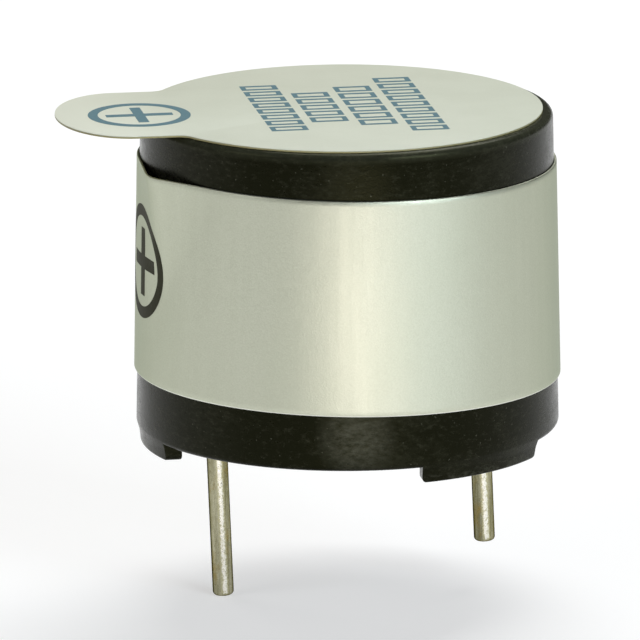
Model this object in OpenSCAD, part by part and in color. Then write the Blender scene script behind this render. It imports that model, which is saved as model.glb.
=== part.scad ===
// Magnetic buzzer with a built-in driver, for a circuit board.
// The origin is on the case axis in the seating plane, the plane of the three feet.
// +Z points up to the sound port. The pins stand on the X line, with the positive pin towards -X.

/* [Case] */
// Outside diameter at the lower rim
case_d = 12; // [11.8:0.1:14]
// Height of the top face above the seating plane
case_h = 9.5; // [9.2:0.1:12]
// Radius lost from the lower rim to the top face, so that the case leaves its mould
case_draft = 0.17; // [0:0.01:0.3]
// Radius of the top outer edge
case_edge_r = 0.2; // [0.1:0.05:0.4]
// Radius of the lower outer edge
rim_edge_r = 0.15; // [0.05:0.05:0.2]
// Wall round the bore at the lower rim
case_wall = 0.85; // [0.7:0.05:1]
// Thickness of the top face
case_top_t = 0.8; // [0.6:0.1:1.2]
// Width of the inner step that holds the support ring down
case_step = 0.45; // [0.35:0.05:0.6]
// Diameter of the sound port
port_d = 2.4; // [1.5:0.1:3.5]

/* [Feet] */
// Height of a foot, which is the gap under the rim
foot_h = 0.45; // [0.3:0.05:0.8]
// Width of the foot on the positive side
foot_w = 4.05; // [2:0.05:5]
// Distance from the case axis along X to the two other feet
side_foot_x = 1.15; // [0.5:0.05:2]
// Half the opening between the two other feet
side_foot_y = 3.45; // [2.5:0.05:4]
// Step from the case's side in to the outer wall of a foot
foot_inset = 0.04; // [0:0.01:0.08]
// Radius that this wall loses on its way down
foot_draft = 0.13; // [0:0.01:0.2]
// Thickness of a foot at its underside
foot_t = 0.38; // [0.3:0.02:0.5]
// Radius of the outer lower edge of a foot
foot_edge_r = 0.05; // [0.02:0.01:0.1]
// Radius of the lower corners at a foot's ends
foot_corner_r = 0.15; // [0.05:0.05:0.25]

/* [Wash seal] */
// Gap from the case's lower rim in to the seal's edge
seal_inset = 0.36; // [0.3:0.02:0.8]
// How far the seal's round part was stuck on off the case's axis, towards its tab
seal_shift = 0.1; // [0:0.02:0.2]
// Angle that the seal was stuck on away from the line of the pins
seal_turn = 1.4; // [0:0.1:4]
// Thickness of the seal
seal_t = 0.07; // [0.05:0.01:0.2]
// Reach of the pull tab past the case's lower rim
tab_out = 2.27; // [2.2:0.05:3.5]
// Width of the pull tab
tab_w = 5.7; // [4:0.1:7]
// Length of the tab's elliptical end
tab_end = 1.95; // [1.2:0.05:2.1]
// Radius of the hollow corners where the tab leaves the round part
tab_neck_r = 0.5; // [0.2:0.1:1]

/* [Side label] */
// Height of the label's lower edge
label_z = 2.02; // [1.2:0.1:2.5]
// Distance from the top face down to the label's upper edge
label_drop = 1.33; // [1.3:0.05:2.5]
// Thickness of the label foil
label_t = 0.06; // [0.04:0.01:0.1]
// Gap between the case and the label
label_gap = 0.02; // [0.02:0.01:0.06]
// Slope of the label round the case, in degrees, with the positive side higher
label_tilt = 1.05; // [0:0.05:1.5]
// How far the foil stands off at its crease
crease_lift = 0.5; // [0:0.05:0.6]
// Length that the ends of the label overlap, in degrees
label_lap = 6; // [3:3:12]

/* [Pins] */
// Distance from the case's lower rim in to the axis of a pin
pin_inset = 2.2; // [2.1:0.05:2.4]
// Diameter of a pin
pin_d = 0.6; // [0.5:0.05:0.7]
// Reach of the positive pin below the seating plane
pin_long = 4.5; // [3:0.1:7]
// Reach of the negative pin below the seating plane
pin_short = 3.25; // [2.5:0.05:7]
// Bend of both pins towards +X below the potting, in degrees
pin_lean = 2.25; // [0:0.25:3]
// Length of a pin above the board
pin_head = 0.35; // [0.2:0.05:0.5]
// Radius of the pin's lower edge
pin_tip_r = 0.12; // [0.05:0.01:0.2]

/* [Circuit board] */
// Thickness of the circuit board
board_t = 0.8; // [0.6:0.1:1]
// Thickness of the copper tracks
track_t = 0.05; // [0.03:0.01:0.07]
// Width of a copper track
track_w = 0.4; // [0.2:0.05:0.5]
// Length of the transistor's body
transistor_l = 2.9; // [2.6:0.1:3.1]
// Width of the transistor's body
transistor_w = 1.3; // [1.2:0.1:1.5]
// Height of the transistor's body
transistor_h = 0.95; // [0.8:0.05:1]
// Length of the chip resistor
resistor_l = 1.6; // [1.4:0.1:1.8]
// Width of the chip resistor
resistor_w = 0.8; // [0.7:0.05:0.9]
// Height of the chip resistor
resistor_h = 0.45; // [0.35:0.05:0.55]

/* [Potting] */
// Depth of the potting's flat below the case rim
potting_recess = 0.3; // [0.2:0.05:0.4]
// Depth of potting under the board
potting_h = 1.1; // [1.1:0.05:1.3]
// Height of the edge that the potting draws up the bore
meniscus = 0.1; // [0.02:0.01:0.1]

/* [Drive] */
// Thickness of the yoke plate
yoke_t = 0.8; // [0.6:0.1:1]
// Share of the height between the yoke plate and the top face that the magnet takes
magnet_share = 0.5; // [0.45:0.01:0.53]
// Share of the magnet's radius that its bore takes
magnet_bore_share = 0.72; // [0.65:0.01:0.75]
// Share of the bobbin's radius that the pole core takes
core_share = 0.4; // [0.3:0.02:0.5]
// Distance from the magnet's top down to the bobbin's top
bobbin_drop = 0.05; // [0:0.05:0.3]
// Thickness of a bobbin flange
flange_t = 0.2; // [0.15:0.05:0.3]
// Thickness of the bobbin's tube
tube_t = 0.15; // [0.1:0.05:0.25]
// Depth of the winding below the flange edge
winding_inset = 0.15; // [0.1:0.05:0.3]
// Radial room between the bobbin and the magnet, where the coil's leads run
lead_room = 0.45; // [0.35:0.05:0.6]
// Diameter of a coil lead
lead_d = 0.1; // [0.06:0.02:0.14]

/* [Diaphragm] */
// Wall of the support ring round the magnet
ring_wall = 0.45; // [0.4:0.05:0.6]
// Width of the ledge that carries the diaphragm
ledge_w = 0.4; // [0.3:0.05:0.6]
// Thickness of the ledge
ledge_t = 0.4; // [0.3:0.05:0.6]
// Gap from the magnet up to the ledge
magnet_head = 0.3; // [0.2:0.05:0.5]
// Depth of the recess that the diaphragm lies in
recess_h = 0.3; // [0.25:0.05:0.5]
// Wall of the support ring round that recess
rim_wall = 0.25; // [0.2:0.05:0.35]
// Thickness of the diaphragm
diaphragm_t = 0.08; // [0.05:0.01:0.1]
// Share of the diaphragm's radius that the armature disc takes
armature_share = 0.42; // [0.3:0.02:0.5]
// Thickness of the armature disc
armature_t = 0.4; // [0.2:0.05:0.5]
// Gap between the pole core and the diaphragm
pole_gap = 0.3; // [0.2:0.05:0.4]

/* [Hidden] */
$fn = 96;

// Clearances
fit_gap = 0.05;     // between loose round pieces
bond_gap = 0.02;    // filled by glue, potting or solder
eps = 0.01;         // a cut's overrun past a face

// Heights from the seating plane, from the bottom of the stack to its top
ceiling_z = case_h - case_top_t;
potting_z = foot_h + potting_recess;
board_z = potting_z + potting_h;
board_top_z = board_z + board_t;
yoke_top_z = board_top_z + yoke_t;
magnet_h = magnet_share * (ceiling_z - yoke_top_z);
magnet_top_z = yoke_top_z + magnet_h;
bobbin_h = magnet_h - bobbin_drop;
seat_z = magnet_top_z + magnet_head + ledge_t;
step_z = seat_z + recess_h;

// Radii from the rim in to the core
rim_r = case_d / 2;
feet_reach = rim_r + 1;
bore_r = rim_r - case_wall;
chamber_r = bore_r - case_step;
ring_r = bore_r - fit_gap;
ring_bore_r = ring_r - ring_wall;
recess_r = ring_r - rim_wall;
diaphragm_r = recess_r - fit_gap;
magnet_r = ring_bore_r - fit_gap;
magnet_bore_r = magnet_r * magnet_bore_share;
bobbin_r = magnet_bore_r - lead_room;
winding_r = bobbin_r - winding_inset;
core_r = bobbin_r * core_share;
tube_r = core_r + bond_gap + tube_t;
board_r = bore_r - fit_gap;
pin_r = pin_d / 2;
pin_x = rim_r - pin_inset;

// Coil leads: three ends, because the driver's coil has a tap
lead_angles = [60, 90, 120];
lead_r = (bobbin_r + magnet_bore_r) / 2;
lead_z = yoke_top_z + flange_t + 0.3;
lead_tail = 0.15;
lead_hole_d = lead_d + 0.2;
yoke_lead_hole_d = lead_d + 0.4;
yoke_pin_hole_d = pin_d + 0.6;

// Board layout, seen from above; the parts hang under the board
transistor_y = -1.7;
transistor_leg_x = 0.95;
transistor_leg_w = 0.4;
transistor_leg_t = 0.12;
transistor_span = transistor_w + 1.1;
transistor_lift = 0.05;
resistor_y = 1;
resistor_cap = 0.3;
cap_t = 0.03;
leg_foot = 0.4;
pad_margin = 0.12;
track_turn = 1;
pin_pad_r = 0.75;
lead_pad_r = 0.4;
pin_solder_h = 0.6;
lead_solder_h = 0.25;
parts_z = board_z - track_t;
pin_bend_z = potting_z - 0.1;

// Label foil
label_h = case_h - label_drop - label_z;
label_steps = 120;
label_rows = 7;
label_seam = 80;
crease_angle = 200;
crease_from = 0.45;
crease_fade = 1.2;

// Outer radius of the case at height z
function case_r(z) = rim_r - case_draft * (z - foot_h) / (case_h - foot_h);

// Points of a quarter round from angle a0 to a1 about a centre
function arc(centre, r, a0, a1, n = 9) =
    [for (i = [0:n]) centre + r * [cos(a0 + (a1 - a0) * i / n), sin(a0 + (a1 - a0) * i / n)]];

// A point at radius r on the direction of angle a
function polar(r, a) = [r * cos(a), r * sin(a)];

// A tube standing on z, with a clear hole
module tube(r_out, r_in, h) {
    difference() {
        cylinder(r = r_out, h = h);
        translate([0, 0, -eps]) cylinder(r = r_in, h = h + 2 * eps);
    }
}

// Places its children at both pins: side is -1 for the positive pin and +1 for the negative
module at_pins(sides = [-1, 1]) {
    for (side = sides)
        translate([side * pin_x, 0, 0]) children();
}

// Places its children at the three holes for the coil's leads
module at_leads() {
    for (a = lead_angles)
        rotate([0, 0, a]) translate([lead_r, 0, 0]) children();
}

// Section of the feet from one end wall to another, with round lower corners
module foot_section(from, to) {
    h = foot_h + rim_edge_r + eps;
    r = foot_corner_r;
    translate([from + r, 0]) square([to - from - 2 * r, h]);
    translate([from, r]) square([to - from, h - r]);
    for (x = [from + r, to - r]) translate([x, r]) circle(r = r, $fn = 48);
}

// That section across X, run along Y past the case on both sides
module foot_slab(from, to) {
    rotate([90, 0, 0]) linear_extrude(2 * feet_reach, center = true) foot_section(from, to);
}

// Ring that the feet are parts of, up into the rim
module foot_ring() {
    top_r = rim_r - foot_inset;
    low_r = top_r - foot_draft;
    rotate_extrude() polygon(concat(
        [[low_r - foot_t, foot_h + rim_edge_r], [low_r - foot_t, 0]],
        arc([low_r - foot_edge_r, foot_edge_r], foot_edge_r, -90, 0, 4),
        [[top_r, foot_h + rim_edge_r]]));
}

// One foot towards -X with its ends along X, and two with one end along Y and one along X
module feet() {
    intersection() {
        foot_ring();
        union() {
            intersection() {
                rotate([0, 0, 90]) foot_slab(-foot_w / 2, foot_w / 2);
                translate([-feet_reach, -feet_reach, 0]) cube([feet_reach, 2 * feet_reach, feet_reach]);
            }
            for (side = [0, 1]) mirror([0, side, 0]) intersection() {
                foot_slab(side_foot_x, feet_reach);
                rotate([0, 0, 90]) foot_slab(side_foot_y, feet_reach);
            }
        }
    }
}

// Moulded cup: port in the top, chamber, step for the support ring, open bottom and feet
module case() {
    edge_z = case_h - case_edge_r;
    edge_r = case_r(edge_z) - case_edge_r;
    rim_z = foot_h + rim_edge_r;
    color([0.13, 0.13, 0.11]) {
        rotate_extrude() polygon(concat(
            [[port_d / 2, case_h]],
            arc([edge_r, edge_z], case_edge_r, 90, 0),
            arc([case_r(rim_z) - rim_edge_r, rim_z], rim_edge_r, 0, -90),
            [[bore_r, foot_h], [bore_r, step_z],
             [chamber_r, step_z], [chamber_r, ceiling_z], [port_d / 2, ceiling_z]]));
        feet();
    }
}

// Outline of the seal: the round part, and hollow corners that run into the straight tab with its
// elliptical end, drawn with the tab towards +X
function seal_outline() =
    let (
        r = rim_r - seal_inset,
        half = tab_w / 2,
        neck_y = half + tab_neck_r,
        neck = [seal_shift + sqrt(pow(r + tab_neck_r, 2) - pow(neck_y, 2)), neck_y],
        turn = atan2(neck_y, neck[0] - seal_shift),
        end_x = rim_r + tab_out - tab_end
    )
    concat(
        arc([seal_shift, 0], r, turn, 360 - turn, 90),
        arc([neck[0], -neck[1]], tab_neck_r, 180 - turn, 90),
        [for (a = [-90:6:90]) [end_x + tab_end * cos(a), half * sin(a)]],
        arc(neck, tab_neck_r, -90, turn - 180));

// Paper seal over the port, with a tab to pull it off by
module wash_seal() {
    color([0.84, 0.85, 0.78]) translate([0, 0, case_h]) rotate([0, 0, 180 - seal_turn])
        linear_extrude(seal_t) polygon(seal_outline());
}

// Radius that a foil of radius r takes at angle a from a crease lifted by lift:
// straight on both sides of the crease, until it meets its own round
function creased_r(r, a, lift) =
    let (reach = acos(r / (r + lift)))
    abs(a) < reach ? r / cos(reach - abs(a)) : r;

// Share of the way from one foil layer up to the next where the ends overlap
function lap_share(s) = let (t = min(1, max(0, (s - 360 + label_lap) / label_lap))) t * t * (3 - 2 * t);

// One point of the foil: s is the angle run along the foil, t the share of its height
function label_point(s, t, layer) =
    let (
        a = label_seam + s,
        share = max(0, (t - crease_from) / (1 - crease_from)),
        level = label_z + label_h * t,
        inner = case_r(label_z + label_h * t) + label_gap,
        r = creased_r(inner, a - crease_angle, crease_lift * pow(share, crease_fade)),
        lapped = r + lap_share(s) * (label_t + bond_gap) + layer * label_t,
        p = polar(lapped, a)
    )
    [p[0], p[1], level - p[0] * tan(label_tilt)];

// Silver foil round the side: two layers of points, closed at all four edges
module side_label() {
    run = 360 + label_lap;
    columns = round(label_steps * run / 360);
    rows = label_rows;
    points = [for (layer = [0, 1], i = [0:columns], j = [0:rows])
        label_point(run * i / columns, j / rows, layer)];
    function at(layer, i, j) = layer * (columns + 1) * (rows + 1) + i * (rows + 1) + j;
    sides = [for (i = [0:columns - 1], j = [0:rows - 1]) each [
        [at(1, i, j), at(1, i, j + 1), at(1, i + 1, j + 1)],
        [at(1, i, j), at(1, i + 1, j + 1), at(1, i + 1, j)],
        [at(0, i, j), at(0, i + 1, j + 1), at(0, i, j + 1)],
        [at(0, i, j), at(0, i + 1, j), at(0, i + 1, j + 1)]]];
    edges = [for (i = [0:columns - 1]) each [
        [at(0, i, 0), at(1, i, 0), at(1, i + 1, 0), at(0, i + 1, 0)],
        [at(0, i, rows), at(0, i + 1, rows), at(1, i + 1, rows), at(1, i, rows)]]];
    ends = [for (j = [0:rows - 1]) each [
        [at(0, 0, j), at(0, 0, j + 1), at(1, 0, j + 1), at(1, 0, j)],
        [at(0, columns, j), at(1, columns, j), at(1, columns, j + 1), at(0, columns, j + 1)]]];
    color([0.78, 0.79, 0.74]) polyhedron(points, concat(sides, edges, ends));
}

// Ring that stands on the board, centres the magnet and carries the diaphragm
module support_ring() {
    ledge_r = ring_bore_r - ledge_w;
    color([0.86, 0.84, 0.76]) rotate_extrude() polygon([
        [ring_bore_r, board_top_z], [ring_r, board_top_z], [ring_r, step_z], [recess_r, step_z],
        [recess_r, seat_z], [ledge_r, seat_z], [ledge_r, seat_z - ledge_t],
        [ring_bore_r, seat_z - ledge_t]]);
}

// Thin steel disc that sounds
module diaphragm() {
    color([0.72, 0.72, 0.7]) translate([0, 0, seat_z])
        cylinder(r = diaphragm_r, h = diaphragm_t);
}

// Small disc welded to the middle of the diaphragm, which the core pulls
module armature() {
    color([0.55, 0.55, 0.54]) translate([0, 0, seat_z + diaphragm_t])
        cylinder(r = diaphragm_r * armature_share, h = armature_t);
}

// Ring magnet round the coil
module ring_magnet() {
    color([0.2, 0.2, 0.2]) translate([0, 0, yoke_top_z]) tube(magnet_r, magnet_bore_r, magnet_h);
}

// Soft iron plate under the magnet, with clear holes for the pins and the leads
module yoke_plate() {
    color([0.62, 0.62, 0.6]) translate([0, 0, board_top_z]) difference() {
        cylinder(r = magnet_r, h = yoke_t);
        translate([0, 0, -eps]) {
            cylinder(r = core_r + bond_gap, h = yoke_t + 2 * eps);
            at_pins() cylinder(d = yoke_pin_hole_d, h = yoke_t + 2 * eps);
            at_leads() cylinder(d = yoke_lead_hole_d, h = yoke_t + 2 * eps);
        }
    }
}

// Iron core, set in the yoke plate and ending just under the diaphragm
module pole_core() {
    color([0.6, 0.6, 0.58]) translate([0, 0, board_top_z])
        cylinder(r = core_r, h = seat_z - pole_gap - board_top_z);
}

// Spool that the coil is wound on
module coil_bobbin() {
    color([0.85, 0.8, 0.62]) translate([0, 0, yoke_top_z]) rotate_extrude() polygon([
        [core_r + bond_gap, 0], [bobbin_r, 0], [bobbin_r, flange_t], [tube_r, flange_t],
        [tube_r, bobbin_h - flange_t], [bobbin_r, bobbin_h - flange_t],
        [bobbin_r, bobbin_h], [core_r + bond_gap, bobbin_h]]);
}

// Enamelled copper winding between the flanges
module coil_winding() {
    color([0.72, 0.36, 0.16]) translate([0, 0, yoke_top_z + flange_t])
        tube(winding_r, tube_r + bond_gap, bobbin_h - 2 * flange_t);
}

// Ends of the winding: out of the coil, over a bend and down through the board
module coil_leads() {
    stub = lead_r - winding_r - bond_gap;
    low_z = parts_z - lead_tail;
    color([0.72, 0.36, 0.16]) at_leads() {
        translate([0, 0, low_z]) cylinder(d = lead_d, h = lead_z - low_z, $fn = 24);
        translate([0, 0, lead_z]) sphere(d = lead_d, $fn = 24);
        translate([-stub, 0, lead_z]) rotate([0, 90, 0]) cylinder(d = lead_d, h = stub, $fn = 24);
    }
}

// Round board, drilled for the pins and the leads
module circuit_board() {
    color([0.2, 0.42, 0.2]) translate([0, 0, board_z]) difference() {
        cylinder(r = board_r, h = board_t);
        translate([0, 0, -eps]) {
            at_pins() cylinder(r = pin_r + fit_gap, h = board_t + 2 * eps);
            at_leads() cylinder(d = lead_hole_d, h = board_t + 2 * eps);
        }
    }
}

// Centres of the pads that the parts' metal lies on
function leg_pad(side) = [side * transistor_leg_x, transistor_y + (transistor_span - leg_foot) / 2];
middle_leg_pad = [0, transistor_y - (transistor_span - leg_foot) / 2];
function cap_pad(side) = [side * (resistor_l - resistor_cap) / 2, resistor_y];

// A straight track with round ends
module track(from, to) {
    run = to - from;
    translate(from) rotate(atan2(run[1], run[0]))
        translate([0, -track_w / 2]) square([norm(run), track_w]);
    for (p = [from, to]) translate(p) circle(d = track_w, $fn = 24);
}

// Copper on the underside: pads, and the paths between pins, coil and parts
module board_tracks() {
    positive = [-pin_x, 0];
    negative = [pin_x, 0];
    positive_turn = [-pin_x, resistor_y + track_turn];
    drive_turn = [transistor_leg_x + track_turn, resistor_y];
    negative_turn = [pin_x - track_turn, transistor_y - track_turn];
    color([0.78, 0.5, 0.25]) translate([0, 0, parts_z]) linear_extrude(track_t) difference() {
        union() {
            for (p = [positive, negative]) translate(p) circle(r = pin_pad_r);
            for (a = lead_angles) translate(polar(lead_r, a)) circle(r = lead_pad_r, $fn = 48);
            for (p = [leg_pad(-1), leg_pad(1), middle_leg_pad])
                translate(p) square([transistor_leg_w, leg_foot] + pad_margin * [2, 2], center = true);
            for (side = [-1, 1])
                translate(cap_pad(side))
                    square([resistor_cap, resistor_w] + pad_margin * [2, 1], center = true);
            track(positive, positive_turn);
            track(positive_turn, polar(lead_r, lead_angles[2]));
            track(polar(lead_r, lead_angles[1]), cap_pad(1));
            track(cap_pad(-1), leg_pad(-1));
            track(polar(lead_r, lead_angles[0]), drive_turn);
            track(drive_turn, leg_pad(1));
            track(middle_leg_pad, negative_turn);
            track(negative_turn, negative);
        }
        for (p = [positive, negative]) translate(p) circle(r = pin_r + fit_gap);
        for (a = lead_angles) translate(polar(lead_r, a)) circle(d = lead_hole_d, $fn = 24);
    }
}

// Transistor body, with sloping ends as it comes out of its mould
module drive_transistor() {
    bevel = 0.1;
    h = transistor_h - transistor_lift;
    color([0.12, 0.12, 0.12])
    translate([0, transistor_y + transistor_w / 2, parts_z - transistor_lift]) rotate([90, 0, 0])
        linear_extrude(transistor_w) polygon([
            [-transistor_l / 2 + bevel, 0], [-transistor_l / 2, -h / 2],
            [-transistor_l / 2 + bevel, -h], [transistor_l / 2 - bevel, -h],
            [transistor_l / 2, -h / 2], [transistor_l / 2 - bevel, 0]]);
}

// One leg towards +Y: out of the body, down and flat on its pad
module transistor_leg() {
    exit = transistor_w / 2 + bond_gap;
    far = transistor_span / 2;
    t = transistor_leg_t;
    drop = -transistor_h / 2;
    bend = (exit + far) / 2;
    rotate([90, 0, 90]) translate([0, 0, -transistor_leg_w / 2]) linear_extrude(transistor_leg_w)
        polygon([[exit, drop], [bend - t, drop], [bend - t, -t], [bend - t, 0], [far, 0],
                 [far, -t], [bend, -t], [bend, drop - t], [exit, drop - t]]);
}

// Three tinned legs: two on one side, one on the other
module transistor_leads() {
    color([0.8, 0.79, 0.75]) translate([0, transistor_y, parts_z]) {
        for (side = [-1, 1]) translate([side * transistor_leg_x, 0, 0]) transistor_leg();
        mirror([0, 1, 0]) transistor_leg();
    }
}

// Ceramic block of the resistor
module chip_resistor() {
    l = resistor_l - 2 * cap_t;
    w = resistor_w - 2 * cap_t;
    h = resistor_h - 2 * cap_t;
    color([0.16, 0.16, 0.17]) translate([-l / 2, resistor_y - w / 2, parts_z - cap_t - h]) cube([l, w, h]);
}

// Metal caps round both ends of the block
module resistor_caps() {
    l = resistor_l - 2 * cap_t;
    w = resistor_w - 2 * cap_t;
    h = resistor_h - 2 * cap_t;
    color([0.8, 0.79, 0.75]) translate([0, resistor_y, parts_z - resistor_h]) difference() {
        for (side = [0, 1]) mirror([side, 0, 0])
            translate([resistor_l / 2 - resistor_cap, -resistor_w / 2, 0])
                cube([resistor_cap, resistor_w, resistor_h]);
        translate([-l / 2, -w / 2, cap_t]) cube([l, w, h]);
    }
}

// Hollow-sided cone of solder with its wide end up, round a wire of radius r_in
module fillet_cone(r_in, r_out, h) {
    rotate_extrude() polygon(concat(
        [[r_in, 0], [r_in, -h], [r_in + bond_gap, -h]],
        [for (t = [0.2:0.2:1]) [r_in + bond_gap + (r_out - r_in - bond_gap) * t * t, -h * (1 - t)]]));
}

// Solder round both pins and the three leads, under the board
module solder_joints() {
    inset = 0.05;
    color([0.75, 0.75, 0.73]) {
        at_pins() translate([0, 0, parts_z]) fillet_cone(pin_r + bond_gap, pin_pad_r - inset, pin_solder_h);
        at_leads() translate([0, 0, parts_z])
            fillet_cone(lead_d / 2 + bond_gap, lead_pad_r - inset, lead_solder_h);
    }
}

// A round wire: straight through board and potting, then bent to its lean, with a softened lower edge.
// Both lengths are cut at the plane halfway between their directions, where they meet.
module pin(reach) {
    drop = pin_bend_z + reach;
    side = 2 * pin_d;
    tip = arc([pin_r - pin_tip_r, pin_tip_r - drop], pin_tip_r, -90, 0, 6);
    translate([0, 0, pin_bend_z]) {
        difference() {
            translate([0, 0, -pin_d]) cylinder(r = pin_r, h = board_top_z + pin_head - pin_bend_z + pin_d);
            rotate([0, -pin_lean / 2, 0]) translate([-side / 2, -side / 2, -side]) cube(side);
        }
        difference() {
            rotate([0, -pin_lean, 0]) rotate_extrude()
                polygon(concat([[0, pin_d], [0, -drop]], tip, [[pin_r, pin_d]]));
            rotate([0, -pin_lean / 2, 0]) translate([-side / 2, -side / 2, 0]) cube(side);
        }
    }
}

// Longer pin, on the side of the tab
module pin_positive() {
    color([0.76, 0.74, 0.66]) at_pins([-1]) pin(pin_long);
}

// Shorter pin
module pin_negative() {
    color([0.76, 0.74, 0.66]) at_pins([1]) pin(pin_short);
}

// Room that the board's parts, solder and pins take in the potting
module potting_pockets() {
    g = bond_gap;
    top = parts_z;
    translate([-transistor_l / 2 - g, transistor_y - transistor_w / 2 - g, top - transistor_h - g])
        cube([transistor_l + 2 * g, transistor_w + 2 * g, transistor_h + g]);
    translate([-transistor_leg_x - transistor_leg_w / 2 - g, transistor_y - transistor_span / 2 - g,
               top - transistor_h / 2 - transistor_leg_t - g])
        cube([2 * transistor_leg_x + transistor_leg_w + 2 * g, transistor_span + 2 * g,
              transistor_h / 2 + transistor_leg_t + g]);
    translate([-resistor_l / 2 - g, resistor_y - resistor_w / 2 - g, top - resistor_h - g])
        cube([resistor_l + 2 * g, resistor_w + 2 * g, resistor_h + g]);
    at_pins() {
        translate([0, 0, top - pin_solder_h - g]) cylinder(r = pin_pad_r, h = pin_solder_h + g);
        cylinder(r = pin_r + g, h = top);
    }
    at_leads() translate([0, 0, top - lead_solder_h - g]) cylinder(r = lead_pad_r, h = lead_solder_h + g);
}

// Resin that closes the bottom, drawn a little down the bore and flat in the middle
module potting() {
    r = bore_r - bond_gap;
    run = 0.6;
    color([0.1, 0.1, 0.1]) difference() {
        rotate_extrude() polygon(concat(
            [[0, parts_z - bond_gap], [0, potting_z]],
            [for (t = [0:0.2:1]) [r - run * (1 - t), potting_z - meniscus * t * t]],
            [[r, parts_z - bond_gap]]));
        potting_pockets();
    }
}

case();
wash_seal();
side_label();
support_ring();
diaphragm();
armature();
ring_magnet();
yoke_plate();
pole_core();
coil_bobbin();
coil_winding();
coil_leads();
circuit_board();
board_tracks();
drive_transistor();
transistor_leads();
chip_resistor();
resistor_caps();
solder_joints();
pin_positive();
pin_negative();
potting();
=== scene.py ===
"""Looks of the magnetic buzzer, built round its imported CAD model.

Sizes are in millimetres and angles in degrees, as in the CAD source, and a mesh is scaled to metres when
it is made. The camera's fitted angles are in radians and the lamps' sizes in metres.
"""

import math

import bmesh  # noqa: E402
import bpy  # noqa: E402
import numpy as np  # noqa: E402
from mathutils import Matrix, Vector  # noqa: E402


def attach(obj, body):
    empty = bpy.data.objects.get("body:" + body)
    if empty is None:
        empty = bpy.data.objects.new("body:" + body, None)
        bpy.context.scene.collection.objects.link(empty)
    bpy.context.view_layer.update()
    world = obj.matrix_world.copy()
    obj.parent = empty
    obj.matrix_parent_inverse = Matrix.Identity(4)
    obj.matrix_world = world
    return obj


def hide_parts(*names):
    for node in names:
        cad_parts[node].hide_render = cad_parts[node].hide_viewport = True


MM = 0.001

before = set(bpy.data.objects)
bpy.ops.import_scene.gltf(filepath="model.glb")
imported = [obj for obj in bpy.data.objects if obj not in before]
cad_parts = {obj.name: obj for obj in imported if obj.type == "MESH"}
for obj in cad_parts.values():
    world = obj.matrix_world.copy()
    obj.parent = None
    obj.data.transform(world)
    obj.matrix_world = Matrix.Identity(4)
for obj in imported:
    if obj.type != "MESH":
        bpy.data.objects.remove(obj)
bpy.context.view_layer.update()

# Sizes of the CAD source that the new meshes repeat
RIM_R, CASE_H, CASE_WALL, CASE_TOP_T, CASE_STEP, DRAFT = 6.0, 9.5, 0.85, 0.8, 0.45, 0.17
TOP_EDGE_R, RIM_EDGE_R, PORT_R, STEP_Z = 0.2, 0.15, 1.2, 7.075
BORE_R, CEILING_Z = RIM_R - CASE_WALL, CASE_H - CASE_TOP_T
CHAMBER_R = BORE_R - CASE_STEP
FOOT_H, FOOT_W, FOOT_CORNER_R, SIDE_FOOT_X, SIDE_FOOT_Y = 0.45, 4.05, 0.15, 1.15, 3.45
SEAL_INSET, SEAL_T, SEAL_SHIFT, SEAL_TURN = 0.36, 0.07, 0.1, 1.4
TAB_OUT, TAB_W, TAB_END, NECK_R = 2.27, 5.7, 1.95, 0.5
SEAL_R, TAB_REACH = RIM_R - SEAL_INSET, RIM_R + TAB_OUT
LABEL_Z, LABEL_DROP, LABEL_T, LABEL_GAP, BOND_GAP = 2.02, 1.33, 0.06, 0.02, 0.02
LABEL_H = CASE_H - LABEL_DROP - LABEL_Z
LABEL_TILT, LABEL_LAP, LABEL_SEAM = 1.05, 6.0, 80.0
CREASE_AT, CREASE_LIFT, CREASE_FROM, CREASE_FADE = 200.0, 0.5, 0.45, 1.2
PIN_X, PIN_R, PIN_TOP_Z, PIN_BEND_Z, PIN_LEAN, PIN_TIP_R = 3.8, 0.3, 3.0, 0.65, 2.25, 0.12
PIN_REACH = {"pin_positive": 4.5, "pin_negative": 3.25}
YOKE_TOP_Z, MAGNET_SHARE, BOBBIN_R, BOBBIN_DROP, CORE_SHARE = 3.45, 0.5, 2.862, 0.05, 0.4
TUBE_T, FLANGE_T, WINDING_INSET = 0.15, 0.2, 0.15
BOBBIN_H = MAGNET_SHARE * (CEILING_Z - YOKE_TOP_Z) - BOBBIN_DROP
TUBE_R = CORE_SHARE * BOBBIN_R + BOND_GAP + TUBE_T

# Sizes that only the scene has: the feet's walls, a little steeper than in the CAD source, fine edges,
# the foil's fold, the turns of the winding and the film of the prints
FOOT_INSET, FOOT_DRAFT, FOOT_T, FOOT_EDGE_R, FOOT_STEP_H = 0.08, 0.03, 0.43, 0.06, 0.28
FOOT_CHAMFER, PORT_EDGE_R, TOP_RING_R = 0.02, 0.06, 5.4
CREASE_FOLD, LABEL_EDGE, LABEL_EDGE_DROP = 4.0, 0.004, 0.45
SEAL_EDGE, PIN_CHAMFER, COIL_TURNS = 0.012, 0.05, 20
INK_T, INK_GAP = 0.004, 0.001


# Meshes
def cos(degrees):
    return np.cos(np.radians(degrees))


def sin(degrees):
    return np.sin(np.radians(degrees))


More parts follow.
